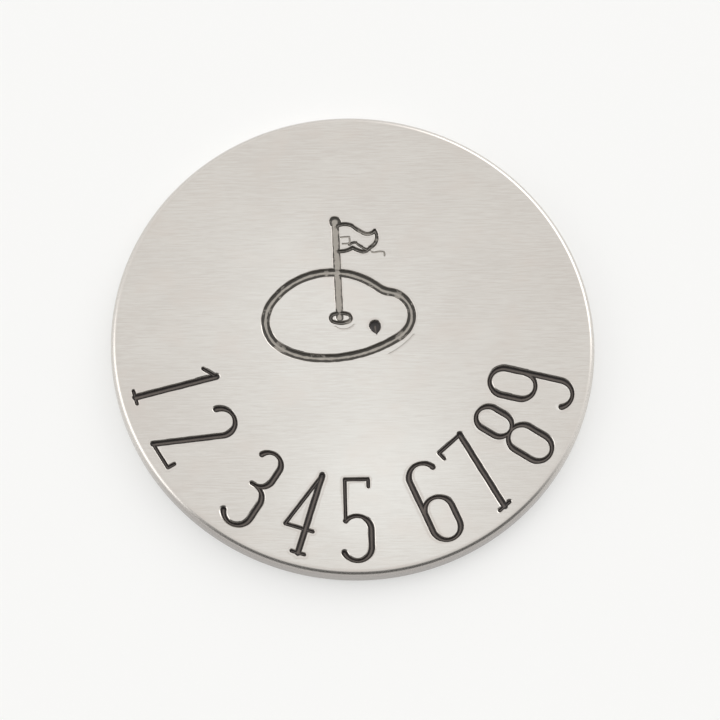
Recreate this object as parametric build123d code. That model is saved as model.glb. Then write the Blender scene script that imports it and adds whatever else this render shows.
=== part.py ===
"""Golf ball marker: a hand-stamped steel disc with black enamel left in its impressions.

The disc is one blank of sheet metal.  A design stamp has struck a putting green with a flag in its
cup and a ball, and nine digit punches have struck the hole numbers 1 to 9 round the lower half.
Black enamel was rubbed into the impressions and wiped off the face, so a thin film of it lies on
the floor of each one.  Every impression that stands alone holds one film, and each film is a solid
of its own.

Frame: millimetres, the disc lies on z = 0 with its axis on Z, +Z is the stamped face, and +Y is the
way up of the stamped picture.
"""

from build123d import *
from math import asin, atan2, cos, degrees, hypot, radians, sin
import os

# ---- The blank -------------------------------------------------------------------------------
DISC_DIAMETER = 25.4  # one inch
DISC_THICKNESS = 1.02  # 18 gauge sheet
FACE_EDGE_ROUND = 0.35  # the stamped face's edge, rolled over by the blanking die
BACK_EDGE_ROUND = 0.15  # the back's edge, only tumbled

# ---- The impressions -------------------------------------------------------------------------
PUNCH_DEPTH = 0.22  # bite of every punch
ENAMEL_FILM = 0.05  # enamel left on the floor

# ---- The digits ------------------------------------------------------------------------------
STEM_WIDTH = 0.34  # main strokes
HAIR_WIDTH = 0.2  # thin strokes, serifs and hooks
DIGIT_HEIGHT = 4.4  # the foot serif's centre line to the centre line of the top
DIGIT_WIDTH = 1.5  # between the centre lines of a round digit's sides
SERIF_LENGTH = 0.7  # a foot serif, between its end centres
HOOK_LENGTH = 0.4  # the turned end of a bar
WAIST = 0.55  # where a digit's waist lies, as a share of its height
UPPER_SHARE = 0.86  # the upper bowl's width, as a share of the lower one's
TERMINAL = 25.0  # degrees that an open bowl runs on past its side

# ---- The row of digits -----------------------------------------------------------------------
DIGIT_GROUPS = (2, 3, 4)  # how many digits stand together, from the left
RIM_MARGIN = 0.86  # rim to the centre line of the foot serifs
DIGIT_GAP = 0.3  # free space between two digits at their inner ends
GROUP_GAP = 1.0  # more space between two groups, at the same place
ROW_MIDDLE = -90.7  # degrees, where the middle of the row lies on the disc

# ---- The picture, drawn for a free circle of this radius inside the digits ------------------------
PICTURE_RADIUS = 7.27
GREEN_LINE_WIDTH = 0.43
GREEN_START = (-2.19, -0.77)  # the lowest point of the edge, where the first arc ends
# Each arc of the green's edge, anticlockwise: radius (minus for the hollow one) and the direction
# of its outward normal where it ends.  The two radii that are None follow from the loop closing.
GREEN_ARCS = (
    (3.95, -96.3),
    (6.99, -56.5),
    (1.67, -35.4),
    (None, 82.8),
    (-1.12, 51.0),
    (3.91, 145.3),
    (None, 241.1),
)
POLE_WIDTH = 0.4
POLE_FOOT = (-0.68, 1.42)
POLE_TOP = (-0.79, 6.75)
KNOB_DIAMETER = 0.62
CUP_LENGTH = 1.06
CUP_DEPTH = 0.55
CUP_CENTRE = (-0.62, 1.4)
FLAG_LINE_WIDTH = 0.2
# The flag's two edges as arcs: where each arc starts and how far it stands off its chord, to the left.
# The upper edge starts at the pole and runs on down the fly, and the lower one starts at the pole.
FLAG_UPPER_EDGE = (((-0.77, 6.47), 0.13), ((0.12, 6.52), -0.02), ((0.6, 6.17), -0.14), ((1.3, 6.24), 0.22))
FLAG_LOWER_EDGE = (((-0.72, 5.12), -0.08), ((0.1, 5.31), -0.02), ((0.6, 5.08), -0.07))
FLAG_END = (1.01, 5.3)  # where both of them end
BALL_CENTRE = (1.17, 0.88)
BALL_LENGTH = 0.8
BALL_WIDTH = 0.54
BALL_TILT = 105.0  # degrees, direction of its long axis

HALF = DIGIT_WIDTH / 2
WAIST_Y = DIGIT_HEIGHT * WAIST
UPPER_HALF = HALF * UPPER_SHARE
FREE_RADIUS = DISC_DIAMETER / 2 - RIM_MARGIN - DIGIT_HEIGHT - STEM_WIDTH / 2
PICTURE_SCALE = FREE_RADIUS / PICTURE_RADIUS


# ---- Marks: the outline that the edge of a punch leaves -------------------------------------------
def stroke(path, width):
    """The mark that a round-ended edge strikes along an open path."""
    return SlotArc(Wire(path.edges()), width)


def straight(start, end, width):
    """The mark of a straight edge."""
    return stroke(Line(start, end), width)


def band(path, width):
    """The mark that an edge strikes along a closed path."""
    wire = Wire(path.edges())
    return make_face(wire.offset_2d(width / 2)) - make_face(wire.offset_2d(-width / 2))


def struck(*marks):
    """Several marks of one punch as one outline."""
    return Sketch() + list(marks)


def arc(centre, radius, start, end):
    """An arc from one direction to another, in degrees, either way round."""
    return CenterArc(centre, radius, start, end - start)


# ---- The digits, each on its own baseline with the y axis up its middle ------------------------
def foot(x):
    """The serif under a stem that stands at x."""
    return straight((x - SERIF_LENGTH / 2, 0), (x + SERIF_LENGTH / 2, 0), HAIR_WIDTH)


def closed_bowl(half_width, low, high):
    """A closed loop with straight sides and round ends."""
    return (
        arc((0, low + half_width), half_width, 180, 360)
        + Line((half_width, low + half_width), (half_width, high - half_width))
        + arc((0, high - half_width), half_width, 0, 180)
        + Line((-half_width, high - half_width), (-half_width, low + half_width))
    )


def open_bowl(half_width, low, high, start, end):
    """A bowl that is open on the left, from its upper end round its right side to its lower one."""
    return (
        arc((0, high - half_width), half_width, start, 0)
        + Line((half_width, high - half_width), (half_width, low + half_width))
        + arc((0, low + half_width), half_width, 0, end)
    )


def digit_1():
    return struck(
        straight((0, 0), (0, DIGIT_HEIGHT), STEM_WIDTH),
        straight((0, DIGIT_HEIGHT), (-HOOK_LENGTH * 1.5, DIGIT_HEIGHT - HOOK_LENGTH * 1.4), HAIR_WIDTH),
        foot(0),
    )


def digit_2():
    centre_y = DIGIT_HEIGHT - HALF
    away = hypot(HALF, centre_y)
    leaves = degrees(atan2(centre_y, HALF) - asin(HALF / away)) - 90  # where the diagonal is tangent
    bowl = arc((0, centre_y), HALF, 180 - TERMINAL / 2, leaves)
    return struck(
        stroke(bowl + Line(bowl @ 1, (-HALF, 0)), STEM_WIDTH),
        straight((-HALF, 0), (HALF, 0), HAIR_WIDTH),
        straight((HALF, 0), (HALF, HOOK_LENGTH), HAIR_WIDTH),
    )


def digit_3():
    return struck(
        stroke(open_bowl(UPPER_HALF, WAIST_Y, DIGIT_HEIGHT, 180 - TERMINAL, -90), STEM_WIDTH),
        stroke(open_bowl(HALF, 0, WAIST_Y, 90, TERMINAL - 180), STEM_WIDTH),
        straight((-UPPER_HALF / 3, WAIST_Y), (0, WAIST_Y), HAIR_WIDTH),
    )


def digit_4():
    stem_x = HALF * 0.45
    bar_y = DIGIT_HEIGHT * 0.3
    return struck(
        straight((stem_x, 0), (stem_x, DIGIT_HEIGHT), STEM_WIDTH),
        straight((stem_x, DIGIT_HEIGHT), (-HALF, bar_y), HAIR_WIDTH),
        straight((-HALF, bar_y), (HALF, bar_y), HAIR_WIDTH),
        foot(stem_x),
    )


def digit_5():
    bowl = open_bowl(HALF, 0, WAIST_Y, 140, TERMINAL - 180)
    left = -HALF * cos(radians(40))
    return struck(
        stroke(bowl, STEM_WIDTH),
        straight((left, WAIST_Y - HALF + HALF * sin(radians(40))), (left, DIGIT_HEIGHT), HAIR_WIDTH),
        straight((left, DIGIT_HEIGHT), (UPPER_HALF, DIGIT_HEIGHT), HAIR_WIDTH),
        straight((UPPER_HALF, DIGIT_HEIGHT), (UPPER_HALF, DIGIT_HEIGHT - HOOK_LENGTH), HAIR_WIDTH),
    )


def digit_6():
    top = DIGIT_HEIGHT - HALF
    spine = arc((0, top), HALF, TERMINAL, 180) + Line((-HALF, top), (-HALF, WAIST_Y - HALF))
    return struck(band(closed_bowl(HALF, 0, WAIST_Y), STEM_WIDTH), stroke(spine, STEM_WIDTH))


def digit_7():
    foot_x = -HALF * 0.3
    return struck(
        straight((HALF, DIGIT_HEIGHT), (foot_x, 0), STEM_WIDTH),
        straight((-HALF, DIGIT_HEIGHT), (HALF, DIGIT_HEIGHT), HAIR_WIDTH),
        straight((-HALF, DIGIT_HEIGHT), (-HALF, DIGIT_HEIGHT - HOOK_LENGTH), HAIR_WIDTH),
        foot(foot_x),
    )


def digit_8():
    return struck(
        band(closed_bowl(UPPER_HALF, WAIST_Y, DIGIT_HEIGHT), STEM_WIDTH),
        band(closed_bowl(HALF, 0, WAIST_Y), STEM_WIDTH),
    )


def digit_9():
    return Pos(0, DIGIT_HEIGHT) * Rot(0, 0, 180) * digit_6()


DIGITS = (digit_1, digit_2, digit_3, digit_4, digit_5, digit_6, digit_7, digit_8, digit_9)


def row_angles():
    """Where each digit stands on the disc, in degrees: evenly, with more space between groups."""
    pitch = 2 * degrees(asin((DIGIT_WIDTH + STEM_WIDTH + DIGIT_GAP) / 2 / FREE_RADIUS))
    group_extra = degrees(GROUP_GAP / FREE_RADIUS)
    angles = [
        digit * pitch + group * group_extra
        for digit, group in enumerate(g for g, size in enumerate(DIGIT_GROUPS) for _ in range(size))
    ]
    return [angle - angles[-1] / 2 + ROW_MIDDLE for angle in angles]


def on_the_row(digit, angle):
    """A digit with its foot towards the rim, at this angle."""
    return Rot(0, 0, angle + 90) * Pos(0, RIM_MARGIN - DISC_DIAMETER / 2) * digit


# ---- The picture -----------------------------------------------------------------------------
def in_picture(point):
    """A point of the picture, at the picture's size."""
    return (point[0] * PICTURE_SCALE, point[1] * PICTURE_SCALE)


def closing_radii(arcs):
    """The arcs' radii, with the two open ones found from the loop ending where it began."""
    ends = [(cos(radians(normal)), sin(radians(normal))) for _, normal in arcs]
    steps = [(end[0] - start[0], end[1] - start[1]) for start, end in zip(ends[-1:] + ends, ends)]
    known = [(radius or 0, step) for (radius, _), step in zip(arcs, steps)]
    rest_x = -sum(radius * step[0] for radius, step in known)
    rest_y = -sum(radius * step[1] for radius, step in known)
    (ax, ay), (bx, by) = [step for (radius, _), step in zip(arcs, steps) if radius is None]
    spread = ax * by - ay * bx
    found = iter(((rest_x * by - rest_y * bx) / spread, (ax * rest_y - ay * rest_x) / spread))
    return [next(found) if radius is None else radius for radius, _ in arcs]


def green_edge():
    """The closed centre line of the green's edge, arc after arc, each tangent to the next."""
    radii = closing_radii(GREEN_ARCS)
    normals = [normal for _, normal in GREEN_ARCS]
    place = Vector(*in_picture(GREEN_START))
    path = []
    for before, radius, after in zip(normals, radii[1:] + radii[:1], normals[1:] + normals[:1]):
        radius = radius * PICTURE_SCALE
        centre = place - Vector(radius, 0).rotate(Axis.Z, before)
        turn = (after - before + 180) % 360 - 180
        flip = 180 if radius < 0 else 0
        piece = CenterArc((centre.X, centre.Y), abs(radius), before + flip, turn)
        path.append(piece)
        place = piece @ 1
    return path


def green():
    return band(Curve() + green_edge(), GREEN_LINE_WIDTH)


def cup():
    long_side, short_side = CUP_LENGTH * PICTURE_SCALE / 2, CUP_DEPTH * PICTURE_SCALE / 2
    grow = FLAG_LINE_WIDTH / 2
    ring = Ellipse(long_side + grow, short_side + grow) - Ellipse(long_side - grow, short_side - grow)
    return Pos(*in_picture(CUP_CENTRE)) * ring


def pole():
    knob = Pos(*in_picture(POLE_TOP)) * Circle(KNOB_DIAMETER * PICTURE_SCALE / 2)
    return struck(straight(in_picture(POLE_FOOT), in_picture(POLE_TOP), POLE_WIDTH), knob)


def flag_edge(arcs):
    """The marks of one edge of the flag, arc after arc."""
    starts = [in_picture(start) for start, _ in arcs]
    ends = starts[1:] + [in_picture(FLAG_END)]
    bulges = [bulge * PICTURE_SCALE for _, bulge in arcs]
    drawn = [SagittaArc(start, end, bulge) for start, end, bulge in zip(starts, ends, bulges)]
    return [stroke(piece, FLAG_LINE_WIDTH) for piece in drawn]


def flag():
    """Two waved edges, the upper one with the bulging fly edge."""
    return struck(*flag_edge(FLAG_UPPER_EDGE), *flag_edge(FLAG_LOWER_EDGE))


def ball():
    outline = Ellipse(BALL_LENGTH * PICTURE_SCALE / 2, BALL_WIDTH * PICTURE_SCALE / 2)
    return Pos(*in_picture(BALL_CENTRE)) * Rot(0, 0, BALL_TILT) * outline


# ---- The solids --------------------------------------------------------------------------------
def impressions():
    """The outline of every impression that stands alone, under the name of its enamel."""
    outlines = {"flag_and_green_enamel": struck(green(), cup(), pole(), flag()), "ball_enamel": ball()}
    for number, (digit, angle) in enumerate(zip(DIGITS, row_angles()), start=1):
        outlines[f"digit_{number}_enamel"] = on_the_row(digit(), angle)
    return outlines


def punch(outline):
    """The solid that a punch drives out of the face."""
    return extrude(Pos(0, 0, DISC_THICKNESS) * outline, amount=-PUNCH_DEPTH)


def enamel(cutter):
    """The film on an impression's floor, wall to wall."""
    floor = DISC_THICKNESS - PUNCH_DEPTH
    reach = DISC_DIAMETER
    layer = Pos(0, 0, floor) * Box(reach, reach, ENAMEL_FILM, align=(Align.CENTER, Align.CENTER, Align.MIN))
    return cutter & layer


def blank():
    disc = Cylinder(DISC_DIAMETER / 2, DISC_THICKNESS, align=(Align.CENTER, Align.CENTER, Align.MIN))
    edges = disc.edges().filter_by(GeomType.CIRCLE).sort_by(Axis.Z)
    disc = fillet(edges[0], BACK_EDGE_ROUND)
    face_edge = disc.edges().filter_by(GeomType.CIRCLE).sort_by(Axis.Z)[-1]
    return fillet(face_edge, FACE_EDGE_ROUND)


def build():
    """Every node of the marker, by name."""
    punches = {name: punch(outline) for name, outline in impressions().items()}
    nodes = {name: enamel(cutter) for name, cutter in punches.items()}
    nodes["marker_disc"] = blank() - list(punches.values())
    return nodes


def export():
    os.makedirs("parts", exist_ok=True)
    for name, solid in build().items():
        export_step(solid, f"parts/{name}.step")


if __name__ == "__main__":
    export()
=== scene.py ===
"""Golf ball marker: a hand-stamped disc of brushed stainless steel with black enamel in its marks.

Everything is modelled in millimetres on the frame's own axes and brought down to metres at the end.
"""

import logging
import math
from collections.abc import Callable, Sequence
from dataclasses import dataclass, field, replace
from enum import Enum
from typing import Any

import bmesh
import bpy
from mathutils import Matrix, Vector, noise
from mathutils.kdtree import KDTree


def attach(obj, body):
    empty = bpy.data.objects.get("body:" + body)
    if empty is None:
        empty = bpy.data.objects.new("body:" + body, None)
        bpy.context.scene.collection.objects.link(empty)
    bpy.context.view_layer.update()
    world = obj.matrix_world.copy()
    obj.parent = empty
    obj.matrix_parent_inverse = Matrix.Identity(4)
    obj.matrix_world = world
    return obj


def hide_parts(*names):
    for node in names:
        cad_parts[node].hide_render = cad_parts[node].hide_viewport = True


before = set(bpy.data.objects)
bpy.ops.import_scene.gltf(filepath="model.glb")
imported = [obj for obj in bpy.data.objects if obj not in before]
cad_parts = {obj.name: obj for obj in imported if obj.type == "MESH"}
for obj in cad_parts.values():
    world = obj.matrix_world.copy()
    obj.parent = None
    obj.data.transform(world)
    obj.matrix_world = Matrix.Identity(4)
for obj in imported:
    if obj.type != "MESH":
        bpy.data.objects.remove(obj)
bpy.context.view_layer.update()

LOG = logging.getLogger("ball_marker")

MM = 0.001
TINY = 1e-4  # mm, closer than this is the same place
BITE = 0.16  # mm, about as long as a step along a straight stroke
UNEVEN = 0.1  # how far a stroke's sides stray, as a share of its half width
UNEVEN_PER_MM = 2.6  # how many times per millimetre it does so
TAPERING = 1.8  # how late a tapered stroke narrows
SMOOTH_UP_TO = 38.0  # degrees, the sharpest edge that is shaded smooth
SENSOR_WIDTH = 36.0  # mm
Point = tuple[float, float]
Colour = tuple[float, float, float, float]
Solid = bpy.types.Object


# ---- Strokes: what the edge of a punch draws on the face ----
@dataclass(frozen=True)
class PunchEdge:
    """One of the edges that a punch has, as the mark that it leaves.

    Attributes:
        width: The mark's width at the face, in millimetres.
        depth: How deep it is struck.
        draft: The slope of its walls, in degrees.
        rubbed: How far from the middle its floor is rubbed, as a share of half the floor.
        swelling: How high the metal rises beside it.
    """

    width: float
    depth: float
    draft: float
    rubbed: float
    swelling: float = 0.007

    @property
    def half(self) -> float:
        """Half of its width."""
        return self.width / 2


class Weight(Enum):
    """The edges that the punches are made of."""

    STEM = PunchEdge(0.34, 0.2, 19.0, 0.5)
    HAIR = PunchEdge(0.2, 0.16, 14.0, 0.3)
    EDGE = PunchEdge(0.44, 0.13, 18.0, 0.35)
    POLE = PunchEdge(0.4, 0.08, 22.0, 0.85)
    KNOB = PunchEdge(0.6, 0.1, 20.0, 0.6)
    BALL = PunchEdge(0.64, 0.2, 24.0, 0.2)
    FLAG = PunchEdge(0.2, 0.12, 14.0, 0.15)
    FOLD = PunchEdge(0.14, 0.08, 14.0, 0.3, 0.003)
    FAINT = PunchEdge(0.1, 0.05, 14.0, 0.9, 0.0)
    SCUFF = PunchEdge(0.08, 0.03, 14.0, 0.0, 0.0)


@dataclass(frozen=True)
class Stretch:
    """One stretch of a stroke: straight ahead where the radius is zero, otherwise a bend.

    Attributes:
        length: How far a straight stretch runs, in millimetres.
        radius: The radius of a bend, in millimetres.
        turn: How far a bend turns, in degrees, positive to the left.
    """

    length: float = 0.0
    radius: float = 0.0
    turn: float = 0.0


@dataclass(frozen=True)
class Stroke:
    """A stroke as a pen would draw it: where it starts, which way it sets off, and what follows.

    Attributes:
        start: Where the pen is set down, in millimetres.
        heading: The direction it sets off in, in degrees from +X.
        stretches: The straight stretches and bends that follow.
        weight: The punch's edge that strikes it.
        closed: Whether it ends where it began.
        thin: Its width where it runs across the upright, as a share of its full width.
        upright: The direction in which it has its full width, in degrees from +X.
        taper: Its width at its end, as a share of its width at its start.
    """

    start: Point
    heading: float
    stretches: tuple[Stretch, ...]
    weight: Weight
    closed: bool = False
    thin: float = 1.0
    upright: float = 90.0
    taper: float = 1.0

    @staticmethod
    def line(a: Point, b: Point, weight: Weight) -> "Stroke":
        """Returns a straight stroke.

        Args:
            a: Where it starts.
            b: Where it ends.
            weight: The punch's edge that strikes it.

        Returns:
            The stroke, which is one straight stretch.
        """
        away = Vector(b) - Vector(a)
        heading = math.degrees(math.atan2(away.y, away.x))
        return Stroke(a, heading, (Stretch(length=away.length),), weight)

    @staticmethod
    def bow(a: Point, b: Point, rise: float, weight: Weight) -> "Stroke":
        """Returns a bowed stroke from one point to another.

        Args:
            a: Where it starts.
            b: Where it ends.
            rise: How far its middle stands off the straight line, positive to the left.
            weight: The punch's edge that strikes it.

        Returns:
            The stroke, which is one bend.
        """
        away = Vector(b) - Vector(a)
        half, side = away.length / 2, abs(rise)
        radius = (half**2 + side**2) / (2 * side)
        sweep = math.degrees(2 * math.asin(half / radius))
        turn = math.copysign(sweep, -rise)
        heading = math.degrees(math.atan2(away.y, away.x)) - turn / 2
        return Stroke(a, heading, (Stretch(radius=radius, turn=turn),), weight)

    @staticmethod
    def round(
        centre: Point, radius: float, start: float, end: float, weight: Weight, *more: Stretch
    ) -> "Stroke":
        """Returns a stroke that begins as an arc about a centre.

        Args:
            centre: The arc's centre.
            radius: Its radius.
            start: The direction from the centre in which it starts, in degrees.
            end: The direction in which it ends.
            weight: The punch's edge that strikes it.
            more: The stretches that follow the arc.

        Returns:
            The stroke.
        """
        angle = math.radians(start)
        place = (centre[0] + radius * math.cos(angle), centre[1] + radius * math.sin(angle))
        heading = start + math.copysign(90, end - start)
        return Stroke(place, heading, (Stretch(radius=radius, turn=end - start), *more), weight)

    def moved(self, move: Matrix) -> "Stroke":
        """Carries the stroke along by a move within the plane.

        Args:
            move: The move.

        Returns:
            The stroke in its new place.
        """
        place = move @ Vector((*self.start, 0))
        turned = move.to_3x3() @ Vector(
            (math.cos(math.radians(self.heading)), math.sin(math.radians(self.heading)), 0)
        )
        heading = math.degrees(math.atan2(turned.y, turned.x))
        upright = self.upright + heading - self.heading
        return replace(self, start=(place.x, place.y), heading=heading, upright=upright)

    def centre_line(self, step: float = 0.02) -> list[tuple[Vector, float, float]]:
        """Returns the stroke's centre line as a run of places.

        Args:
            step: The space between two places, in millimetres.

        Returns:
            Each place at height zero, its heading in radians, and the share of the way to it.
        """
        place, heading, way = Vector((*self.start, 0)), math.radians(self.heading), 0.0
        line = [(place.copy(), heading, way)]
        for stretch in self.stretches:
            length = stretch.length or stretch.radius * abs(math.radians(stretch.turn))
            count = max(1, round(length / step))
            for _ in range(count):
                bend = math.radians(stretch.turn) / count
                heading += bend / 2
                place = place + Vector((math.cos(heading), math.sin(heading), 0)) * length / count
                heading += bend / 2
                way += length / count
                line.append((place.copy(), heading, way))
        return [(place, heading, gone / way) for place, heading, gone in line]

    def width_share(self, heading: float, way: float) -> float:
        """Returns the stroke's width at a place on its way, as a share of its full width.

        Args:
            heading: The stroke's direction there, in radians.
            way: How much of its way lies behind, from 0 to 1.

        Returns:
            The share.
        """
        across = math.sin(heading - math.radians(self.upright)) ** 2
        return (1 - (1 - self.thin) * across) * (1 - (1 - self.taper) * way**TAPERING)


@dataclass(frozen=True)
class Section:
    """The upright section of a stroke, from its middle to one side. Height zero is the face.

    Attributes:
        edge: The punch's edge that strikes the stroke.
        film: The enamel's thickness in the middle of the floor, as a share of the depth.
        fill: How high the enamel climbs the walls, as a share of the depth.
    """

    edge: PunchEdge
    film: float = 0.13
    fill: float = 0.55

    @property
    def lip(self) -> float:
        """How far the rolled lip reaches out past the wall."""
        return min(0.045, self.edge.width * 0.25)

    @property
    def floor_half(self) -> float:
        """Half of the floor's width."""
        return self.wall(0)

    def wall(self, height: float) -> float:
        """Returns how far out the wall stands at a height above the floor."""
        return self.edge.half - (self.edge.depth - height) * math.tan(math.radians(self.edge.draft))

    def groove(self) -> list[Point]:
        """Returns the metal that the punch drives away."""
        deep, floor, half, lip = -self.edge.depth, self.floor_half, self.edge.half, self.lip
        corner = min(0.035, floor * 0.45, self.edge.depth * 0.3)
        crest = min(1.0, self.edge.depth / 0.15)
        return [
            (0, deep),
            (floor - corner, deep),
            (floor - corner * 0.3, deep + corner * 0.3),
            (self.wall(corner), deep + corner),
            (half - 0.008 * crest, -0.036 * crest),
            (half, -0.018 * crest),
            (half + lip * 0.35, -0.002),
            (half + lip, 0.013),
            (half + lip * 2, 0.04),
            (half + lip * 2, 0.2),
            (0, 0.2),
        ]

    def air(self) -> list[Point]:
        """Returns the room above the enamel: its skin dips in the middle and climbs the walls."""
        depth, floor = self.edge.depth, self.floor_half
        film, top = depth * self.film, depth * self.fill
        out = self.edge.half + self.lip * 2.4
        return [
            (0, film - depth),
            (floor * 0.45, film * 1.1 - depth),
            (floor * 0.75, film * 1.5 - depth),
            (floor * 0.95, film + depth * 0.16 - depth),
            (self.wall(top) - depth * 0.1, top * 0.72 - depth),
            (self.wall(top) - depth * 0.02, top * 0.98 - depth),
            (self.wall(top) + depth * 0.1, top * 1.02 - depth),
            (out, top * 1.04 - depth),
            (out, 0.21),
            (0, 0.21),
        ]

    def ridge(self) -> list[Point]:
        """Returns the low swelling that the punch raises beside the stroke."""
        half, height = self.edge.half, self.edge.swelling
        reach = self.edge.depth * 0.85
        return [
            (0, -0.12),
            (half + reach, -0.12),
            (half + reach, -height * 0.5),
            (half + reach * 0.72, height * 0.12),
            (half + reach * 0.45, height * 0.68),
            (half + reach * 0.2, height),
            (0, height),
        ]


# ---- Bench work: the few operations that every piece is made with ----
def lay_down_tools() -> None:
    """Leaves edit mode and selects nothing."""
    if bpy.context.object and bpy.context.object.mode != "OBJECT":
        bpy.ops.object.mode_set(mode="OBJECT")
    bpy.ops.object.select_all(action="DESELECT")


def take(obj: Solid) -> None:
    """Selects one object alone and makes it the active one.

    Args:
        obj: The object.
    """
    lay_down_tools()
    obj.select_set(True)
    bpy.context.view_layer.objects.active = obj


def pick(obj: Solid, wanted: Callable[[bmesh.types.BMVert], bool]) -> None:
    """Selects, in edit mode, the vertices that are wanted and what lies between them.

    Args:
        obj: The object that is in edit mode.
        wanted: Says of a vertex whether it is wanted.
    """
    bpy.ops.mesh.select_all(action="DESELECT")
    mesh = bmesh.from_edit_mesh(obj.data)
    for vert in mesh.verts:
        vert.select = wanted(vert)
    mesh.select_flush(True)
    bmesh.update_edit_mesh(obj.data)


def drop(obj: Solid, unwanted: Callable[[bmesh.types.BMVert], bool]) -> None:
    """Deselects, in edit mode, the selected vertices that aren't wanted any more.

    Args:
        obj: The object that is in edit mode.
        unwanted: Says of a vertex whether it is to be deselected.
    """
    mesh = bmesh.from_edit_mesh(obj.data)
    for vert in mesh.verts:
        if vert.select and unwanted(vert):
            vert.select = False
    mesh.select_flush(False)
    bmesh.update_edit_mesh(obj.data)


def spin(turn: float, centre: Vector, steps: int) -> None:
    """Spins what is selected about an upright axis.

    Args:
        turn: How far it is spun, in degrees, positive to the left.
        centre: A place on the axis.
        steps: How many steps that takes.
    """
    bpy.ops.mesh.spin(
        steps=steps, angle=-math.radians(turn), center=(centre.x, centre.y, 0), axis=(0, 0, 1)
    )


def weld() -> None:
    """Merges what coincides and turns every face outwards."""
    bpy.ops.mesh.select_all(action="SELECT")
    bpy.ops.mesh.remove_doubles(threshold=TINY * 5)
    bpy.ops.mesh.normals_make_consistent(inside=False)


def flatten_face(obj: Solid, height: float) -> None:
    """Makes every normal of the flat face at a height point straight up, slivers included.

    Args:
        obj: The object, with its split normals already made.
        height: The height of the face, in the object's own units.
    """
    mesh = obj.data
    normals = [tuple(corner.vector) for corner in mesh.corner_normals]
    for polygon in mesh.polygons:
        flat = all(abs(mesh.vertices[index].co.z - height) < TINY * MM for index in polygon.vertices)
        if flat:
            for loop in polygon.loop_indices:
                normals[loop] = (0.0, 0.0, 1.0)
    mesh.normals_split_custom_set(normals)


class Joining(Enum):
    """What one solid does to another."""

    ADD = "UNION"
    CUT = "DIFFERENCE"


def combine(base: Solid, tools: Sequence[Solid], joining: Joining) -> Solid:
    """Joins solids to a base or cuts them from it, one after another, and uses them up.

    Args:
        base: The solid that stays.
        tools: The solids that are used up.
        joining: What they do to the base.

    Returns:
        The base.
    """
    take(base)
    for tool in tools:
        modifier = base.modifiers.new("combine", "BOOLEAN")
        modifier.operation = joining.value
        modifier.solver = "MANIFOLD"
        modifier.object = tool
        bpy.ops.object.modifier_apply(modifier=modifier.name)
        bpy.data.objects.remove(tool, do_unlink=True)
    return base


def sweep(stroke: Stroke, section: Sequence[Point], steps_in_cap: int = 10) -> Solid:
    """Sweeps a two-sided section along a stroke, and rounds both ends of an open one.

    Args:
        stroke: The stroke that the section follows.
        section: One half of the section, from its foot in the middle to its top in the middle.
        steps_in_cap: How many steps a round end has.

    Returns:
        A closed solid.
    """
    lay_down_tools()
    place, heading = Vector((*stroke.start, 0)), math.radians(stroke.heading)
    ahead = Vector((math.cos(heading), math.sin(heading), 0))
    right = Vector((ahead.y, -ahead.x, 0))
    bpy.ops.mesh.primitive_plane_add(size=0.01, location=place)
    obj = bpy.context.object
    bpy.ops.object.transform_apply()
    bpy.ops.object.mode_set(mode="EDIT")
    bpy.context.tool_settings.mesh_select_mode = (True, False, False)
    bpy.ops.mesh.select_all(action="SELECT")
    bpy.ops.mesh.merge(type="CENTER")
    outline = [*section, *((-x, z) for x, z in reversed(section[:-1]))]
    bpy.ops.transform.translate(value=(0, 0, outline[0][1]))
    for (x0, z0), (x1, z1) in zip(outline, outline[1:]):
        step = right * (x1 - x0) + Vector((0, 0, z1 - z0))
        bpy.ops.mesh.extrude_region_move(TRANSFORM_OT_translate={"value": tuple(step)})
    weld()
    if not stroke.closed:
        drop(obj, lambda vert: (vert.co - place).dot(right) < -TINY)
        spin(-180, place, steps_in_cap)
        weld()
        pick(obj, lambda vert: abs((vert.co - place).dot(ahead)) < TINY)
    for stretch in stroke.stretches:
        if stretch.length:
            bites = max(1, round(stretch.length / BITE))
            step = ahead * stretch.length / bites
            for _ in range(bites):
                bpy.ops.mesh.extrude_region_move(TRANSFORM_OT_translate={"value": tuple(step)})
            place = place + ahead * stretch.length
        else:
            side = math.copysign(stretch.radius, stretch.turn)
            centre = place - right * side
            length = stretch.radius * abs(math.radians(stretch.turn))
            bite = 0.05 + 0.02 * stretch.radius
            spin(stretch.turn, centre, max(3, round(length / bite)))
            turned = Matrix.Rotation(math.radians(stretch.turn), 3, "Z")
            place = centre + turned @ (place - centre)
            ahead, right = turned @ ahead, turned @ right
    if not stroke.closed:
        drop(obj, lambda vert: (vert.co - place).dot(right) < -TINY)
        spin(180, place, steps_in_cap)
    weld()
    bpy.ops.object.mode_set(mode="OBJECT")
    shape_sides(obj, stroke)
    return obj


def shape_sides(obj: Solid, stroke: Stroke) -> None:
    """Gives a sweep the width that its stroke has from place to place, a little unevenly.

    Args:
        obj: The sweep.
        stroke: The stroke that it was swept along.
    """
    line = stroke.centre_line()
    tree = KDTree(len(line))
    for index, (place, _, _) in enumerate(line):
        tree.insert(place, index)
    tree.balance()
    for vert in obj.data.vertices:
        _, index, _ = tree.find((vert.co.x, vert.co.y, 0))
        place, heading, way = line[index]
        uneven = 1 + UNEVEN * noise.noise(vert.co.xy.to_3d() * UNEVEN_PER_MM)
        share = stroke.width_share(heading, way) * uneven
        vert.co.x = place.x + (vert.co.x - place.x) * share
        vert.co.y = place.y + (vert.co.y - place.y) * share


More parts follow.
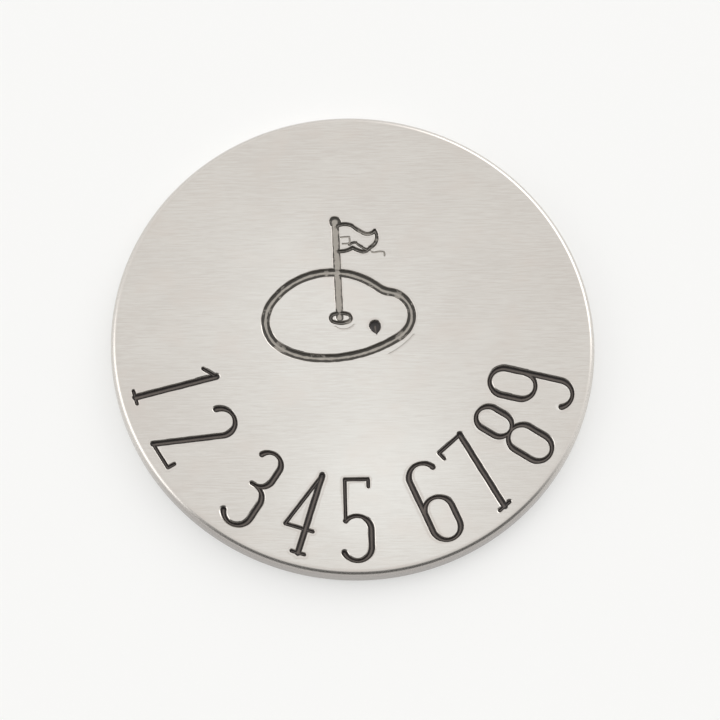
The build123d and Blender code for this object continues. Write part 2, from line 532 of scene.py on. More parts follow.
# ---- Shading: sockets as Python values ----
class Signal:
    """A shader socket that Python's operators work on."""

    def __init__(self, bench: "ShaderBench", socket: bpy.types.NodeSocket) -> None:
        """Keeps the socket and the bench that its tree is built on."""
        self.bench = bench
        self.socket = socket

    def _math(self, operation: str, first: Any, second: Any = None) -> "Signal":
        """Adds a Math node to the tree and returns its result."""
        values = {0: first} if second is None else {0: first, 1: second}
        return self.bench.node("ShaderNodeMath", {"operation": operation}, values)

    def __add__(self, other: Any) -> "Signal":
        """Returns self + other."""
        return self._math("ADD", self, other)

    def __radd__(self, other: Any) -> "Signal":
        """Returns other + self."""
        return self._math("ADD", other, self)

    def __sub__(self, other: Any) -> "Signal":
        """Returns self - other."""
        return self._math("SUBTRACT", self, other)

    def __rsub__(self, other: Any) -> "Signal":
        """Returns other - self."""
        return self._math("SUBTRACT", other, self)

    def __mul__(self, other: Any) -> "Signal":
        """Returns self * other."""
        return self._math("MULTIPLY", self, other)

    def __rmul__(self, other: Any) -> "Signal":
        """Returns other * self."""
        return self._math("MULTIPLY", other, self)

    def __truediv__(self, other: Any) -> "Signal":
        """Returns self / other."""
        return self._math("DIVIDE", self, other)

    def root(self) -> "Signal":
        """Returns the square root."""
        return self._math("SQRT", self)

    def at_least(self, other: Any) -> "Signal":
        """Returns the larger of self and other."""
        return self._math("MAXIMUM", self, other)

    def at_most(self, other: Any) -> "Signal":
        """Returns the smaller of self and other."""
        return self._math("MINIMUM", self, other)

    def step(self, low: float, high: float) -> "Signal":
        """Returns a smooth step: 0 at low, 1 at high, whichever of the two is larger."""
        values = {"Value": self, "From Min": low, "From Max": high, "To Min": 0.0, "To Max": 1.0}
        settings = {"interpolation_type": "SMOOTHSTEP", "clamp": True}
        return self.bench.node("ShaderNodeMapRange", settings, values)


class ShaderBench:
    """Builds the nodes of one material or world."""

    def __init__(self, owner: bpy.types.Material | bpy.types.World) -> None:
        """Empties the owner's tree and keeps it.

        Args:
            owner: The material or the world that the nodes are for.
        """
        owner.use_nodes = True
        self.tree = owner.node_tree
        self.tree.nodes.clear()

    def node(
        self,
        kind: str,
        settings: dict[str, Any] | None = None,
        sockets: dict[str | int, Any] | None = None,
        out: str | int = 0,
    ) -> Signal | None:
        """Adds a node.

        Args:
            kind: The node's type.
            settings: Its own settings, set before its sockets.
            sockets: The value of, or the signal into, each named or numbered input.
            out: The output that is wanted.

        Returns:
            That output, or nothing where the node has none.
        """
        made = self.tree.nodes.new(kind)
        for name, value in (settings or {}).items():
            setattr(made, name, value)
        for name, value in (sockets or {}).items():
            if isinstance(value, Signal):
                self.tree.links.new(value.socket, made.inputs[name])
            else:
                made.inputs[name].default_value = value
        return Signal(self, made.outputs[out]) if len(made.outputs) else None

    def place_mm(self, scale: tuple[float, float, float] = (1.0, 1.0, 1.0)) -> Signal:
        """Returns the object's own coordinates in millimetres, stretched by a scale."""
        place = self.node("ShaderNodeTexCoord", out="Object")
        stretch = tuple(value / MM for value in scale)
        return self.node("ShaderNodeMapping", {}, {"Vector": place, "Scale": stretch})

    def noise(self, scale: tuple[float, float, float], detail: float = 3.0, rough: float = 0.6) -> Signal:
        """Returns noise whose cells per millimetre are given along each axis."""
        sockets = {"Vector": self.place_mm(scale), "Scale": 1.0, "Detail": detail, "Roughness": rough}
        return self.node("ShaderNodeTexNoise", {}, sockets)

    def flakes(self) -> Signal:
        """Returns where enamel has flaked off, in the same spots on every piece."""
        return self.noise((1.4, 1.4, 1.4), 4.0, 0.75).step(0.55, 0.61)

    def blend(self, share: Signal | float, first: Any, second: Any) -> Signal:
        """Returns a colour between two colours."""
        return self.node("ShaderNodeMix", {"data_type": "RGBA"}, {0: share, 6: first, 7: second}, 2)

    def bump(self, height_mm: Signal, strength: float = 1.0) -> Signal:
        """Returns the normal of a surface that stands this many millimetres proud."""
        sockets = {"Height": height_mm, "Distance": MM, "Strength": strength}
        return self.node("ShaderNodeBump", {}, sockets)

    def surface(self, sockets: dict[str | int, Any]) -> None:
        """Adds the principled shader and the material's output."""
        shader = self.node("ShaderNodeBsdfPrincipled", {}, sockets)
        self.node("ShaderNodeOutputMaterial", {}, {"Surface": shader})


@dataclass(frozen=True)
class BrushedSteel:
    """Stainless sheet: a fine grain along X, faint clouds, enamel stains down in the marks, and painted
    light and shade on the tumbled edge.

    Attributes:
        face_height: How high the stamped face lies, in millimetres.
        bright: The steel's colour where it is cleanest.
        dull: Its colour where it is hazy.
        warm: Its colour in the few patches that have a blush.
        rolled: The tumbled edge's colour high on its round and all round except at the front, lighter
            than the face: painted light.
        wall: The tumbled edge's colour low down at the front, darker: painted shade.
        stain: The colour that enamel leaves on the walls of a mark.
        rim_radius: Where the brushed face ends and the tumbled edge begins.
        picture_radius: How far out the picture reaches, whose marks have lost some of their stain.
        bow: How far the blows have bowed the sheet, in millimetres at one millimetre out.
    """

    face_height: float
    bright: Colour = (0.6, 0.574, 0.54, 1.0)
    dull: Colour = (0.545, 0.512, 0.478, 1.0)
    warm: Colour = (0.575, 0.528, 0.488, 1.0)
    # rolled is painted light and wall is painted shade on the tumbled edge
    rolled: Colour = (0.67, 0.64, 0.605, 1.0)
    wall: Colour = (0.46, 0.432, 0.412, 1.0)
    stain: Colour = (0.05, 0.042, 0.033, 1.0)
    rim_radius: float = 12.35
    picture_radius: float = 7.6
    bow: float = 0.0015

    def make(self) -> bpy.types.Material:
        """Returns the material."""
        material = bpy.data.materials.new("brushed_steel")
        bench = ShaderBench(material)
        place = bench.place_mm()
        x, y, z = (bench.node("ShaderNodeSeparateXYZ", {}, {0: place}, axis) for axis in "XYZ")
        radius = (x * x + y * y).root()
        rim = radius.step(self.rim_radius + 0.05, self.rim_radius + 0.25)
        grain = bench.noise((0.7, 13, 2), 4.0, 0.8)
        hair = bench.noise((1.6, 75, 3), 2.0, 0.6)
        clouds = bench.noise((0.25, 0.5, 0.5), 4.0, 0.6)
        blush = bench.noise((0.4, 0.55, 0.7), 2.0, 0.5)
        pits = bench.noise((9, 9, 9), 4.0, 0.7)
        inside = (1 - rim) * (self.face_height - z).step(0.03, 0.09)
        flaked = bench.flakes() * radius.step(self.picture_radius, self.picture_radius - 0.6)
        stained = inside * pits.step(0.3, 0.6) * (1 - flaked * 0.65)
        streaked = bench.blend((grain * 0.7 + clouds * 0.3).step(0.36, 0.64), self.dull, self.bright)
        sheet = bench.blend(blush.step(0.5, 0.75) * 0.5, streaked, self.warm)
        # Painted light and shade on the tumbled edge: lighter high on its round and at the sides and
        # back, darker low down at the front
        rim_painted_light_share = (y / radius.at_least(TINY)).step(-0.8, -0.35).at_least(z.step(0.84, 0.96))
        edge = bench.blend(rim_painted_light_share, self.wall, self.rolled)
        steel = bench.blend(rim, sheet, edge)
        colour = bench.blend(stained, steel, self.stain)
        brushed = grain * 0.0009 + hair * 0.0005
        bowed = (x * x + y * y) * -self.bow
        height = brushed * (1 - rim) + pits * 0.0012 * rim + bowed
        bench.surface(
            {
                "Base Color": colour,
                "Metallic": 1 - stained * 0.85,
                "Roughness": 0.17 + grain * 0.06 + stained * 0.3 + rim * 0.07,
                "Normal": bench.bump(height),
            }
        )
        return material


@dataclass(frozen=True)
class BlackEnamel:
    """Stamping enamel: black in the corners of a mark, rubbed through in the middle of its floor.

    Attributes:
        name: The material's name.
        bare: The colour of the rubbed floor.
        black: The enamel's colour.
        chipped: How unevenly it is rubbed.
        flaked: How clean the steel is where it has flaked off, right across a mark.
    """

    name: str
    bare: Colour
    black: Colour
    chipped: float = 0.9
    flaked: float = 0.0

    def make(self) -> bpy.types.Material:
        """Returns the material, which reads how far a place lies from the middle of its stroke."""
        material = bpy.data.materials.new(self.name)
        bench = ShaderBench(material)
        across = bench.node("ShaderNodeAttribute", {"attribute_name": "across"}, {}, "Fac")
        patches = bench.noise((2.2, 2.2, 2.2), 4.0, 0.7)
        grit = bench.noise((24, 24, 24), 3.0, 0.65)
        rubbed = (across + (patches - 0.5) * self.chipped).step(1.25, 0.75)
        worn = rubbed.at_least(bench.flakes() * self.flaked)
        speckled = (worn * (0.3 + grit * 1.1)).at_most(1.0)
        bench.surface(
            {
                "Base Color": bench.blend(speckled, self.black, self.bare),
                "Metallic": speckled,
                "Roughness": 0.42 + grit * 0.2,
                "Normal": bench.bump(grit * 0.006 + patches * 0.01),
            }
        )
        return material


# ---- The punches' faces ----
@dataclass(frozen=True)
class DigitStyle:
    """The proportions that the nine digit punches share, in millimetres.

    Attributes:
        height: From the foot to the top.
        width: Between the two sides of a round digit.
        serif: The length of a foot serif.
        hook: The length of a bar's turned end.
        waist: How high the waist lies, as a share of the height.
        upper_share: The upper bowl's width, as a share of the lower one's.
        terminal: How far an open bowl runs on past its side, in degrees.
        thin: How wide a bowl is at its top and foot, as a share of its width at the sides.
    """

    height: float = 4.4
    width: float = 1.5
    serif: float = 0.7
    hook: float = 0.4
    waist: float = 0.55
    upper_share: float = 0.86
    terminal: float = 25.0
    thin: float = 0.6

    @property
    def half(self) -> float:
        """Half of a round digit's width."""
        return self.width / 2

    @property
    def waist_y(self) -> float:
        """The height of the waist."""
        return self.height * self.waist

    @property
    def upper(self) -> float:
        """Half of the upper bowl's width."""
        return self.half * self.upper_share

    def stem(self, a: Point, b: Point) -> Stroke:
        """Returns a heavy straight stroke."""
        return Stroke.line(a, b, Weight.STEM)

    def hair(self, a: Point, b: Point) -> Stroke:
        """Returns a thin straight stroke."""
        return Stroke.line(a, b, Weight.HAIR)

    def foot(self, x: float) -> Stroke:
        """Returns the serif under a stem that stands at x."""
        return self.hair((x - self.serif / 2, 0), (x + self.serif / 2, 0))

    def open_bowl(self, half: float, low: float, high: float, start: float, end: float) -> Stroke:
        """Returns a bowl that is open on the left, drawn from its upper end.

        Args:
            half: Half of its width.
            low: The height of its lowest point.
            high: The height of its highest point.
            start: The direction of its upper end from the upper centre, in degrees.
            end: The direction of its lower end from the lower centre.

        Returns:
            The stroke.
        """
        straight = Stretch(length=high - low - 2 * half)
        more = (straight, Stretch(radius=half, turn=end))
        drawn = Stroke.round((0, high - half), half, start, 0, Weight.STEM, *more)
        return replace(drawn, thin=self.thin)

    def closed_bowl(self, half: float, low: float, high: float) -> Stroke:
        """Returns a closed bowl with straight sides and round ends."""
        bend, side = Stretch(radius=half, turn=180), Stretch(length=high - low - 2 * half)
        stretches = (bend, side, bend, side)
        return Stroke((-half, low + half), -90, stretches, Weight.STEM, closed=True, thin=self.thin)

    def one(self) -> list[Stroke]:
        """Returns the strokes of a 1."""
        h, hook = self.height, self.hook
        return [self.stem((0, 0), (0, h)), self.hair((0, h), (-hook * 1.5, h - hook * 1.4)), self.foot(0)]

    def two(self) -> list[Stroke]:
        """Returns the strokes of a 2, whose bowl runs straight on into the diagonal."""
        half, centre_y = self.half, self.height - self.half
        away = math.hypot(half, centre_y)
        leaves = math.degrees(math.atan2(centre_y, half) - math.asin(half / away)) - 90
        diagonal = Stretch(length=math.sqrt(away**2 - half**2))
        bowl = Stroke.round(
            (0, centre_y), half, 180 - self.terminal / 2, leaves, Weight.STEM, diagonal
        )
        bowl = replace(bowl, thin=self.thin)
        return [bowl, self.hair((-half, 0), (half, 0)), self.hair((half, 0), (half, self.hook))]

    def three(self) -> list[Stroke]:
        """Returns the strokes of a 3."""
        upper, half, waist = self.upper, self.half, self.waist_y
        return [
            self.open_bowl(upper, waist, self.height, 180 - self.terminal, -90),
            self.open_bowl(half, 0, waist, 90, self.terminal - 180),
            self.hair((-upper / 3, waist), (0, waist)),
        ]

    def four(self) -> list[Stroke]:
        """Returns the strokes of a 4."""
        half, h = self.half, self.height
        x, bar = half * 0.45, h * 0.3
        return [
            self.stem((x, 0), (x, h)),
            self.hair((x, h), (-half, bar)),
            self.hair((-half, bar), (half, bar)),
            self.foot(x),
        ]

    def five(self) -> list[Stroke]:
        """Returns the strokes of a 5."""
        half, h, waist = self.half, self.height, self.waist_y
        left = -half * math.cos(math.radians(40))
        joins = waist - half + half * math.sin(math.radians(40))
        return [
            self.open_bowl(half, 0, waist, 140, self.terminal - 180),
            self.hair((left, joins), (left, h)),
            self.hair((left, h), (self.upper, h)),
            self.hair((self.upper, h), (self.upper, h - self.hook)),
        ]

    def six(self) -> list[Stroke]:
        """Returns the strokes of a 6."""
        top = self.height - self.half
        back = Stretch(length=top - (self.waist_y - self.half))
        spine = Stroke.round((0, top), self.half, self.terminal, 180, Weight.STEM, back)
        return [self.closed_bowl(self.half, 0, self.waist_y), replace(spine, thin=self.thin)]

    def seven(self) -> list[Stroke]:
        """Returns the strokes of a 7."""
        half, h = self.half, self.height
        foot_x = -half * 0.3
        return [
            self.stem((half, h), (foot_x, 0)),
            self.hair((-half, h), (half, h)),
            self.hair((-half, h), (-half, h - self.hook)),
            self.foot(foot_x),
        ]

    def eight(self) -> list[Stroke]:
        """Returns the strokes of an 8."""
        return [
            self.closed_bowl(self.upper, self.waist_y, self.height),
            self.closed_bowl(self.half, 0, self.waist_y),
        ]

    def nine(self) -> list[Stroke]:
        """Returns the strokes of a 9, which is a 6 turned about."""
        turned = Matrix.Translation((0, self.height, 0)) @ Matrix.Rotation(math.pi, 4, "Z")
        return [stroke.moved(turned) for stroke in self.six()]

    def all(self) -> list[list[Stroke]]:
        """Returns the strokes of each digit from 1 to 9."""
        makers = (
            self.one, self.two, self.three, self.four, self.five, self.six, self.seven, self.eight,
            self.nine,
        )
        return [maker() for maker in makers]


Bow = tuple[Point, float]  # where a bowed stroke starts, and its rise to the left of its chord


@dataclass(frozen=True)
class PictureStyle:
    """The design stamp: a putting green, its cup, and a flag on its stick, in millimetres.

    Attributes:
        green_start: Where the green's edge starts, near its lowest point.
        green_heading: The direction in which it sets off, in degrees from +X.
        green_bends: The radius of each of its bends, and how far that one turns, in degrees.
        pole_foot: The flagstick's lower end.
        pole_top: Its upper end.
        cup_centre: The middle of the cup.
        cup_half: Half of the cup's length, and half of its depth.
        cup_end_radius: The radius of its two narrow bends.
        flag_upper: The flag's edge from the stick along its top and down its free end.
        flag_lower: Its edge from the stick along its foot.
        flag_end: Where both of them end.
        flag_fold: The fold inside the flag.
        fold_end: Where the fold ends.
        tail: The faint line that trails from the flag.
        tail_end: Where that line ends.
        badge: The faint mark on the flag.
        badge_end: Where that mark ends.
        ball_top: The middle of the ball's round end.
        ball_tip: The end that it narrows to.
        second_green: The ends and the rise of the scratch beside the green.
        second_cup: The ends and the rise of the scratch below the cup.
    """

    green_start: Point = (-2.19, -0.77)
    green_heading: float = -6.3
    green_bends: tuple[Point, ...] = (
        (6.99, 39.8),
        (1.67, 21.1),
        (1.30332, 118.2),
        (1.12, -31.8),
        (3.91, 94.3),
        (1.76646, 95.8),
        (3.95, 22.6),
    )
    pole_foot: Point = (-0.68, 1.42)
    pole_top: Point = (-0.79, 6.75)
    cup_centre: Point = (-0.62, 1.4)
    cup_half: Point = (0.53, 0.275)
    cup_end_radius: float = 0.22
    flag_upper: tuple[Bow, ...] = (
        ((-0.77, 6.47), 0.13), ((0.12, 6.52), -0.02), ((0.6, 6.17), -0.14), ((1.3, 6.24), 0.22)
    )
    flag_lower: tuple[Bow, ...] = (((-0.72, 5.12), -0.08), ((0.1, 5.31), -0.02), ((0.6, 5.08), -0.07))
    flag_end: Point = (1.01, 5.3)
    flag_fold: tuple[Bow, ...] = (((-0.07, 5.47), 0.05), ((0.3, 5.58), -0.02), ((0.6, 5.34), -0.03))
    fold_end: Point = (0.88, 5.2)
    tail: tuple[Bow, ...] = (((0.94, 5.12), -0.02), ((1.27, 5.03), 0.03), ((1.74, 5.06), 0.02))
    tail_end: Point = (1.77, 4.85)
    badge: tuple[Bow, ...] = (((-0.5, 5.89), 0.01), ((-0.06, 5.92), 0.01), ((-0.05, 5.56), 0.01))
    badge_end: Point = (-0.42, 5.53)
    ball_top: Point = (1.165, 0.95)
    ball_tip: Point = (1.235, 0.5)
    second_green: tuple[Point, Point, float] = ((3.19, 0.43), (1.85, -0.63), 0.09)
    second_cup: tuple[Point, Point, float] = ((-0.93, 0.92), (0.08, 1.03), -0.21)

    @staticmethod
    def chain(bows: Sequence[Bow], end: Point, weight: Weight) -> list[Stroke]:
        """Returns bowed strokes that follow each other.

        Args:
            bows: Where each of them starts, and its rise.
            end: Where the last one ends.
            weight: The punch's edge that strikes them.

        Returns:
            The strokes.
        """
        ends = [*(start for start, _ in bows[1:]), end]
        return [Stroke.bow(start, stop, rise, weight) for (start, rise), stop in zip(bows, ends)]

    def green(self) -> Stroke:
        """Returns the green's edge, bend after bend, anticlockwise."""
        bends = tuple(Stretch(radius=radius, turn=turn) for radius, turn in self.green_bends)
        return Stroke(self.green_start, self.green_heading, bends, Weight.EDGE, closed=True)

    def cup(self) -> Stroke:
        """Returns the cup's mouth, an oval of four bends."""
        (a, b), end = self.cup_half, self.cup_end_radius
        side = (a * a + b * b - 2 * a * end) / (2 * (b - end))
        joint = math.degrees(math.atan2(side - b, a - end))
        x, y = self.cup_centre
        long_bend = Stretch(radius=side, turn=180 - 2 * joint)
        end_bend = Stretch(radius=end, turn=2 * joint)
        half_bend = Stretch(radius=side, turn=90 - joint)
        bends = (half_bend, end_bend, long_bend, end_bend, half_bend)
        return Stroke((x, y - b), 0, bends, Weight.FLAG, closed=True)

    def pole(self) -> list[Stroke]:
        """Returns the flagstick and its knob."""
        x, y = self.pole_top
        knob = Stroke.line((x - 0.02, y), (x + 0.02, y), Weight.KNOB)
        return [Stroke.line(self.pole_foot, self.pole_top, Weight.POLE), knob]

    def flag(self) -> list[Stroke]:
        """Returns the flag's edges, its fold, the small badge on it and its trailing end."""
        return [
            *self.chain(self.flag_upper, self.flag_end, Weight.FLAG),
            *self.chain(self.flag_lower, self.flag_end, Weight.FLAG),
            *self.chain(self.flag_fold, self.fold_end, Weight.FOLD),
            *self.chain(self.badge, self.badge_end, Weight.FAINT),
            *self.chain(self.tail, self.tail_end, Weight.FAINT),
        ]

    def all(self) -> list[Stroke]:
        """Returns every stroke that the stamp strikes in one blow."""
        return [self.green(), self.cup(), *self.pole(), *self.flag()]

    def ball(self) -> list[Stroke]:
        """Returns the ball, a fat drop."""
        return [replace(Stroke.line(self.ball_top, self.ball_tip, Weight.BALL), taper=0.12)]

    def second_touch(self) -> list[Stroke]:
        """Returns the faint scratches that the stamp left as it rocked on the face."""
        arcs = (self.second_green, self.second_cup)
        return [Stroke.bow(*arc, Weight.SCUFF) for arc in arcs]


# ---- The marker ----
@dataclass(frozen=True)
class Blow:
    """How one punch was held when it was struck, since each is struck by hand.

    Attributes:
        turn: How far it was turned, in degrees.
        slide: How far it was set off its place, in millimetres.
        lean: How far it leaned about X and about Y, in degrees.
        deeper: How much deeper than usual it bit, in millimetres.
    """

    turn: float = 0.0
    slide: Point = (0.0, 0.0)
    lean: Point = (0.0, 0.0)
    deeper: float = 0.0


@dataclass
class Mark:
    """One struck mark: the hollow it leaves in the disc, the swelling round it and its enamel.

    Attributes:
        node: The CAD node of its enamel.
        strokes: Its strokes, in place on the disc.
        blow: How the punch was held.
        enamel: The enamel's finish.
    """

    node: str
    strokes: list[Stroke]
    blow: Blow
    enamel: BlackEnamel

    def settled(self, solid: Solid) -> Solid:
        """Leans and sinks a solid of this mark as the blow did.

        Args:
            solid: The solid, made as if the punch had been held upright.

        Returns:
            The same solid.
        """
        points = [place for stroke in self.strokes for place, _, _ in stroke.centre_line(0.2)]
        middle = sum(points, Vector()) / len(points)
        lean_x, lean_y = (math.radians(value) for value in self.blow.lean)
        lean = Matrix.Rotation(lean_x, 4, "X") @ Matrix.Rotation(lean_y, 4, "Y")
        sink = Matrix.Translation((0, 0, -self.blow.deeper))
        take(solid)
        solid.matrix_world = sink @ Matrix.Translation(middle) @ lean @ Matrix.Translation(-middle)
        bpy.ops.object.transform_apply()
        return solid

    def hollow(self) -> Solid:
        """Returns the metal that the blow drives away, as one solid."""
        swept = [sweep(stroke, Section(stroke.weight.value).groove()) for stroke in self.strokes]
        return self.settled(combine(swept[0], swept[1:], Joining.ADD))

    def raised(self) -> Solid:
        """Returns the swelling that the blow raises, as one solid."""
        risen = [stroke for stroke in self.strokes if stroke.weight.value.swelling > 0]
        swept = [sweep(stroke, Section(stroke.weight.value).ridge()) for stroke in risen]
        return self.settled(combine(swept[0], swept[1:], Joining.ADD))

    def filling(self) -> Solid:
        """Returns the enamel that stays in the hollow, with the distance across written on it."""
        solid = self.hollow()
        air = [self.settled(sweep(s, Section(s.weight.value).air())) for s in self.strokes]
        solid = combine(solid, air, Joining.CUT)
        self.measure_across(solid)
        return solid

    def measure_across(self, solid: Solid) -> None:
        """Writes on each vertex how far it lies from the middle of its stroke.

        Args:
            solid: The enamel. Its attribute is 1 where the rubbed part of the floor ends.
        """
        places = []
        for stroke in self.strokes:
            edge = stroke.weight.value
            rubbed = Section(edge).floor_half * edge.rubbed
            for place, heading, way in stroke.centre_line():
                places.append((place, rubbed * stroke.width_share(heading, way)))
        tree = KDTree(len(places))
        for index, (place, _) in enumerate(places):
            tree.insert(place, index)
        tree.balance()
        across = solid.data.attributes.new("across", "FLOAT", "POINT")
        for vert in solid.data.vertices:
            _, index, distance = tree.find((vert.co.x, vert.co.y, 0))
            across.data[vert.index].value = distance / places[index][1]


@dataclass
class Blank:
    """The disc before it is struck, in millimetres. Its face lies at height zero.

    Attributes:
        radius: The disc's radius.
        thickness: The sheet's thickness.
        face_edge_round: The radius of the rolled edge round the face.
        back_edge_round: The radius of the tumbled edge round the back.
        sides: How many sides stand for the circle.
        edge_steps: How many steps stand for a rounded edge.
    """

    radius: float = 12.7
    thickness: float = 1.02
    face_edge_round: float = 0.35
    back_edge_round: float = 0.15
    sides: int = 300
    edge_steps: int = 10

    def turned(self) -> Solid:
        """Returns the disc with its face's edge rolled over and its back's edge tumbled."""
        lay_down_tools()
        bpy.ops.mesh.primitive_cylinder_add(
            vertices=self.sides,
            radius=self.radius,
            depth=self.thickness,
            location=(0, 0, -self.thickness / 2),
        )
        disc = bpy.context.object
        bpy.ops.object.transform_apply()
        bpy.ops.object.mode_set(mode="EDIT")
        for height, size in ((-self.thickness, self.back_edge_round), (0, self.face_edge_round)):
            pick(disc, lambda vert, height=height: abs(vert.co.z - height) < TINY)
            bpy.ops.mesh.bevel(offset=size, segments=self.edge_steps, profile=0.5)
        bpy.ops.object.mode_set(mode="OBJECT")
        return disc


@dataclass
class Marker:
    """The whole ball marker.

    Attributes:
        blank: The disc before it is struck.
        digits: The digit punches.
        picture: The design stamp.
        rim_margin: From the rim to the digits' feet, in millimetres.
        angles: Where each digit stands on the disc, in degrees from +X.
    """

    blank: Blank = field(default_factory=Blank)
    digits: DigitStyle = field(default_factory=DigitStyle)
    picture: PictureStyle = field(default_factory=PictureStyle)
    rim_margin: float = 0.86
    angles: tuple[float, ...] = (-166.3, -149.4, -124.6, -107.6, -90.7, -65.9, -49.0, -32.0, -15.1)

    def marks(self) -> list[Mark]:
        """Returns every mark that holds enamel."""
        fresh = BlackEnamel("enamel_in_digits", (0.16, 0.138, 0.124, 1.0), (0.026, 0.021, 0.02, 1.0))
        old = (0.42, 0.39, 0.35, 1.0), (0.036, 0.031, 0.024, 1.0)
        rubbed = BlackEnamel("enamel_in_picture", *old, chipped=2.0, flaked=0.7)
        made = [
            Mark("flag_and_green_enamel", self.picture.all(), Blow(lean=(0.15, -0.1)), rubbed),
            Mark("ball_enamel", self.picture.ball(), Blow(), fresh),
        ]
        blows = (
            Blow(0.8, (0.05, 0.02), (0.3, 0.3), 0.01),
            Blow(-0.9, (0.02, -0.03), (-0.4, 0.2), 0.0),
            Blow(1.2, (0.05, 0.05), (0.2, -0.5), 0.02),
            Blow(-0.5, (0.08, 0.0), (-0.3, -0.2), -0.01),
            Blow(0.6, (0.06, -0.04), (0.4, 0.3), 0.01),
            Blow(-1.3, (0.04, 0.03), (-0.2, 0.5), 0.0),
            Blow(0.9, (0.07, 0.02), (0.5, -0.2), 0.02),
            Blow(-0.7, (0.05, -0.05), (0.1, 0.4), 0.0),
            Blow(1.0, (-0.04, 0.04), (-0.3, -0.4), 0.01),
        )
        rows = zip(self.digits.all(), self.angles, blows)
        for number, (strokes, angle, blow) in enumerate(rows, start=1):
            middle = (*blow.slide, 0)
            ring = Matrix.Rotation(math.radians(angle + 90), 4, "Z")
            foot = Matrix.Translation((0, self.rim_margin - self.blank.radius, 0))
            held = Matrix.Translation(middle) @ Matrix.Rotation(math.radians(blow.turn), 4, "Z")
            placed = [stroke.moved(ring @ foot @ held) for stroke in strokes]
            made.append(Mark(f"digit_{number}_enamel", placed, blow, fresh))
        return made

    def build(self) -> None:
        """Models every piece, dresses it and puts it in its CAD node's place."""
        marks = self.marks()
        disc = self.blank.turned()
        disc = combine(disc, [mark.raised() for mark in marks], Joining.ADD)
        disc = combine(disc, [mark.hollow() for mark in marks], Joining.CUT)
        scratches = [sweep(s, Section(s.weight.value).groove()) for s in self.picture.second_touch()]
        disc = combine(disc, scratches, Joining.CUT)
        steel = BrushedSteel(face_height=self.blank.thickness).make()
        self.hand_over(disc, "marker_disc", "struck_disc", steel)
        finishes: dict[str, bpy.types.Material] = {}
        for mark in marks:
            if mark.enamel.name not in finishes:
                finishes[mark.enamel.name] = mark.enamel.make()
            name = mark.node.replace("_enamel", "_filling")
            self.hand_over(mark.filling(), mark.node, name, finishes[mark.enamel.name])

    def hand_over(
        self, obj: Solid, node: str, name: str, finish: bpy.types.Material
    ) -> None:
        """Finishes a piece: smooth shading, metres, its material and its place in the frame.

        Args:
            obj: The piece, in millimetres, with the face at height zero.
            node: The CAD node that it stands for.
            name: Its own name.
            finish: Its material.
        """
        take(obj)
        obj.name = obj.data.name = name
        bpy.ops.transform.translate(value=(0, 0, self.blank.thickness))
        bpy.ops.object.transform_apply()
        obj.scale = (MM, MM, MM)
        bpy.ops.object.transform_apply()
        bpy.ops.object.shade_smooth_by_angle(angle=math.radians(SMOOTH_UP_TO))
        modifier = obj.modifiers.new("even_normals", "WEIGHTED_NORMAL")
        modifier.mode, modifier.keep_sharp = "FACE_AREA", True
        bpy.ops.object.modifier_apply(modifier=modifier.name)
        flatten_face(obj, self.blank.thickness * MM)
        obj.data.materials.clear()
        obj.data.materials.append(finish)
        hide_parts(node)
        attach(obj, "root")
        obj.data.calc_loop_triangles()
        LOG.info("%s: %d triangles, stands for %s", name, len(obj.data.loop_triangles), node)


# ---- The room ----
@dataclass(frozen=True)
class Lamp:
    """A small soft lamp.

    Attributes:
        place: Where it hangs, in metres.
        size: Its width in metres.
        energy: Its power in watts.
    """

    place: tuple[float, float, float]
    size: float
    energy: float


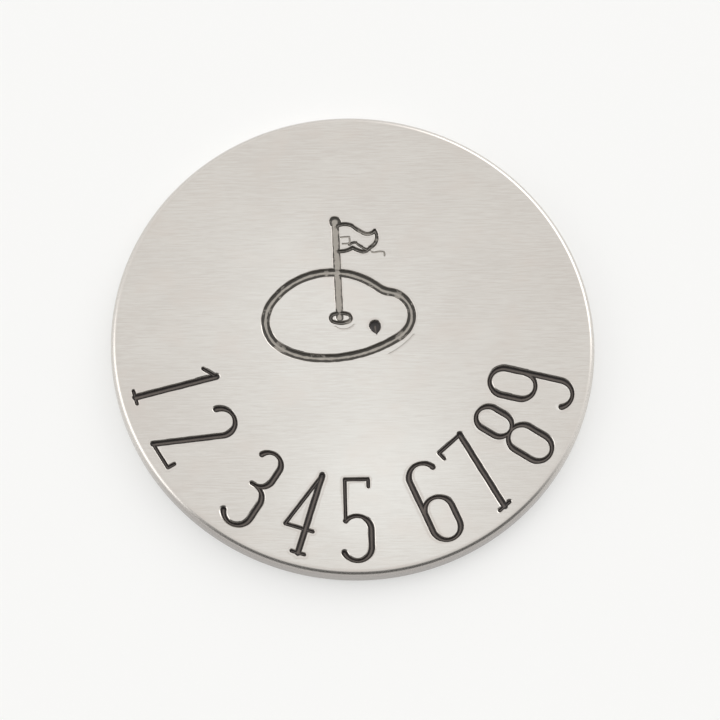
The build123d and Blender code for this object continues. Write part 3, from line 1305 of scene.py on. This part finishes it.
@dataclass
class Room:
    """A pale floor, soft light from all round, two lamps high behind the marker, and the camera.

    Attributes:
        distance: How far the camera stands from the marker, in metres.
        lens: Its focal length in millimetres.
        azimuth: Its direction from the marker, in degrees round from the front.
        elevation: Its height, in degrees above the floor.
        roll: How far it is rolled, in degrees.
        aim: What it looks at, in millimetres across and up from the middle of the face.
        dark: The azimuth round which the room is dark, in degrees from +X.
        panels: The azimuth and the strength of the two brighter stretches of wall.
        lamps: The lamps.
    """

    distance: float = 0.3
    lens: float = 286.1
    azimuth: float = -9.0
    elevation: float = 71.349
    roll: float = 7.849
    aim: Point = (0.465, -0.833)
    dark: float = -82.0
    panels: tuple[Point, Point] = ((48.0, 1.9), (183.0, 1.3))
    lamps: tuple[Lamp, ...] = (
        Lamp((0.0185, 0.066, 0.291), 0.014, 0.0022),
        Lamp((0.0055, 0.101, 0.284), 0.024, 0.0014),
    )

    def floor(self) -> None:
        """Lays the floor."""
        lay_down_tools()
        bpy.ops.mesh.primitive_circle_add(vertices=96, radius=2.5, fill_type="NGON")
        floor = bpy.context.object
        floor.name = "floor"
        material = bpy.data.materials.new("pale_floor")
        finish = {
            "Base Color": (0.47, 0.47, 0.465, 1.0),
            "Roughness": 0.9,
            "Emission Color": (1.0, 1.0, 0.99, 1.0),
            "Emission Strength": 0.452,
        }
        ShaderBench(material).surface(finish)
        floor.data.materials.append(material)

    def sky(self) -> None:
        """Sets the soft light that comes from all round."""
        world = bpy.data.worlds.new("soft_studio")
        bpy.context.scene.world = world
        bench = ShaderBench(world)
        way = bench.node("ShaderNodeTexCoord", out="Generated")
        x, y, z = (bench.node("ShaderNodeSeparateXYZ", {}, {0: way}, axis) for axis in "XYZ")
        level = (x * x + y * y).root().at_least(0.001)

        def towards(azimuth: float) -> Signal:
            """Returns 1 in the direction of an azimuth in degrees, and less the farther from it."""
            angle = math.radians(azimuth)
            return (x * math.cos(angle) + y * math.sin(angle)) / level

        (right, right_glow), (left, left_glow) = self.panels
        front = towards(self.dark).step(0.28, 0.58) * z.step(0.96, 0.68) * z.step(0.0, 0.22)
        glow = towards(right).step(0.82, 0.96) * right_glow + towards(left).step(0.82, 0.95) * left_glow
        glow = glow * z.step(0.12, 0.28) * z.step(0.72, 0.48)
        horizon = z.step(0.14, 0.02)
        strength = (1.1 + glow - horizon * 0.35) * (1 - front * 0.9)
        seen = bench.node("ShaderNodeLightPath", out="Is Camera Ray")
        lit = {"Color": (1.0, 0.995, 0.985, 1.0), "Strength": strength}
        plain = {"Color": (0.95, 0.95, 0.94, 1.0), "Strength": 1.0}
        light, wall = (bench.node("ShaderNodeBackground", {}, values) for values in (lit, plain))
        both = bench.node("ShaderNodeMixShader", {}, {0: seen, 1: light, 2: wall})
        bench.node("ShaderNodeOutputWorld", {}, {"Surface": both})

    def hang(self, lamp: Lamp) -> None:
        """Hangs a lamp and turns it towards the marker.

        Args:
            lamp: The lamp.
        """
        lay_down_tools()
        bpy.ops.object.light_add(type="AREA", location=lamp.place)
        hung = bpy.context.object
        hung.data.shape, hung.data.size = "DISK", lamp.size
        hung.data.energy = lamp.energy
        hung.data.color = (0.8, 0.93, 1.0)
        hung.visible_camera = False
        hung.rotation_euler = (-hung.location).to_track_quat("-Z", "Y").to_euler()

    def camera(self) -> None:
        """Sets the camera up, a little rolled, high over the front of the marker."""
        a, e, r = (math.radians(value) for value in (self.azimuth, self.elevation, self.roll))
        back = Vector((math.sin(a) * math.cos(e), -math.cos(a) * math.cos(e), math.sin(e)))
        right = Vector((math.cos(a), math.sin(a), 0))
        up = back.cross(right)
        aim = Vector((0, 0, Blank.thickness * MM)) + (right * self.aim[0] + up * self.aim[1]) * MM
        across, upward = right * math.cos(r) + up * math.sin(r), up * math.cos(r) - right * math.sin(r)
        bpy.ops.object.camera_add()
        camera = bpy.context.object
        turn = Matrix((across, upward, back)).transposed().to_4x4()
        camera.matrix_world = Matrix.Translation(aim + back * self.distance) @ turn
        camera.data.lens, camera.data.sensor_width = self.lens, SENSOR_WIDTH
        camera.data.clip_start, camera.data.clip_end = 0.01, 10.0
        bpy.context.scene.camera = camera

    def build(self) -> None:
        """Builds the whole room."""
        self.floor()
        self.sky()
        for lamp in self.lamps:
            self.hang(lamp)
        self.camera()
        bpy.context.scene.view_settings.view_transform = "Standard"


def main() -> None:
    """Builds the marker and the room."""
    logging.basicConfig(level=logging.INFO, format="%(name)s: %(message)s")
    Marker().build()
    Room().build()


if __name__ == "__main__":
    main()
